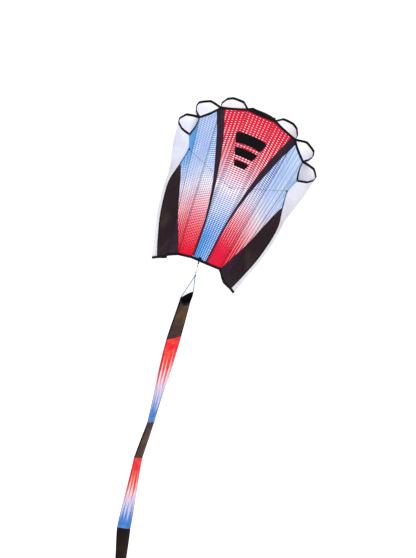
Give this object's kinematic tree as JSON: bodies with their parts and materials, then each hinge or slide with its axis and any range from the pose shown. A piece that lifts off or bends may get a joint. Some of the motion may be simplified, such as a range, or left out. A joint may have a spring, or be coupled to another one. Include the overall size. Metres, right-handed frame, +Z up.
{
  "type": "soft foil kite with a tube tail",
  "caption": "Single-line soft foil kite with arched, open-mouthed air cells, a two-leg bridle, and a flat tube tail hung on a snap swivel.",
  "frame": {"origin": "the end of the tow loop, where a flying line is hitched", "axes": "+Z is up and the tail hangs along -Z; -Y is the printed face's side, towards the flyer; +X is to the right as the flyer sees it; the canopy leans 8.3 degrees to +X about Y"},
  "size_m": [0.874, 0.8084, 3.0328],
  "materials": {
    "printed_cloth": "ripstop nylon with a dot print that fades from red through white to blue",
    "white_cloth": "thin white ripstop nylon, slightly see-through",
    "black_tape": "folded black edge tape",
    "dark_cloth": "thin black ripstop nylon, brownish against the light",
    "tail_print": "ripstop nylon with a streaked red, white and blue print",
    "black_cord": "braided line",
    "blue_cord": "braided blue line",
    "brass": "polished",
    "steel": "bright wire",
    "black_plastic": "moulded"
  },
  "bodies": {
    "canopy": {"lower_panel_1": "printed_cloth", "lower_panel_2": "printed_cloth", "lower_panel_3": "printed_cloth", "lower_panel_4": "printed_cloth", "lower_panel_5": "printed_cloth", "lower_panel_6": "printed_cloth", "lower_panel_7": "printed_cloth", "upper_skin_1": "white_cloth", "upper_skin_2": "white_cloth", "upper_skin_3": "white_cloth", "upper_skin_4": "white_cloth", "upper_skin_5": "white_cloth", "upper_skin_6": "white_cloth", "upper_skin_7": "white_cloth", "lip_binding_1": "black_tape", "lip_binding_2": "black_tape", "lip_binding_3": "black_tape", "lip_binding_4": "black_tape", "lip_binding_5": "black_tape", "lip_binding_6": "black_tape", "lip_binding_7": "black_tape", "leading_edge_binding": "black_tape", "trailing_edge_binding": "black_tape", "side_binding_left": "black_tape", "side_binding_right": "black_tape", "stow_pouch": "black_tape", "pouch_bead": "black_plastic", "bridle_tab_left": "black_tape", "bridle_tab_right": "black_tape", "bridle_leg_left": "black_cord", "bridle_leg_right": "black_cord", "bridle_knot": "black_cord", "tow_loop": "black_cord", "tail_tab": "black_tape", "tail_strap": "black_tape"},
    "link": {"strap_link": "steel"},
    "snap": {"upper_barrel": "brass", "snap_frame": "steel"},
    "gate": {"snap_gate": "steel"},
    "eye": {"lower_eye": "steel"},
    "tail_1": {"lower_barrel": "brass", "tail_ring": "steel", "tail_knot": "blue_cord", "tail_line_left": "blue_cord", "tail_line_right": "blue_cord", "mouth_hem": "dark_cloth", "tail_section_1": "dark_cloth"},
    "tail_2": {"tail_section_2": "tail_print"},
    "tail_3": {"tail_section_3": "dark_cloth"},
    "tail_4": {"tail_section_4": "tail_print"},
    "tail_5": {"tail_section_5": "dark_cloth", "end_hem": "dark_cloth"}
  },
  "joints": [
    {"name": "clip_swing", "type": "hinge", "parent": "canopy", "child": "link", "pos_m": [-0.1098, 0.7301, -0.77], "axis": [1, 0, 0], "range_deg": [-70, 70]},
    {"name": "swivel_spin", "type": "hinge", "parent": "link", "child": "snap", "pos_m": [-0.1098, 0.7301, -0.7865], "axis": [0, 0, 1], "continuous": true},
    {"name": "gate_open", "type": "hinge", "parent": "snap", "child": "gate", "pos_m": [-0.1072, 0.7301, -0.797], "axis": [0, 1, 0], "range_deg": [0, 22], "stiffness_Nm_per_rad": 0.004, "springref_deg": -17.19},
    {"name": "tail_sway", "type": "hinge", "parent": "snap", "child": "eye", "pos_m": [-0.1098, 0.7301, -0.8085], "axis": [0, 1, 0], "range_deg": [-30, 30]},
    {"name": "tail_spin", "type": "hinge", "parent": "eye", "child": "tail_1", "pos_m": [-0.1098, 0.7301, -0.8252], "axis": [0, 0, 1], "continuous": true},
    {"name": "bend_1", "type": "hinge", "parent": "tail_1", "child": "tail_2", "pos_m": [-0.1408, 0.7301, -1.258], "axis": [0.8057, 0.4834, 0.3424], "range_deg": [-40, 40]},
    {"name": "bend_2", "type": "hinge", "parent": "tail_2", "child": "tail_3", "pos_m": [-0.1478, 0.7301, -1.811], "axis": [0.3798, 0.9196, -0.1], "range_deg": [-40, 40]},
    {"name": "bend_3", "type": "hinge", "parent": "tail_3", "child": "tail_4", "pos_m": [-0.1678, 0.7301, -2.047], "axis": [0.462, 0.8638, -0.2009], "range_deg": [-40, 40]},
    {"name": "bend_4", "type": "hinge", "parent": "tail_4", "child": "tail_5", "pos_m": [-0.1468, 0.7301, -2.504], "axis": [0.789, 0.6092, -0.0799], "range_deg": [-40, 40]}
  ]
}
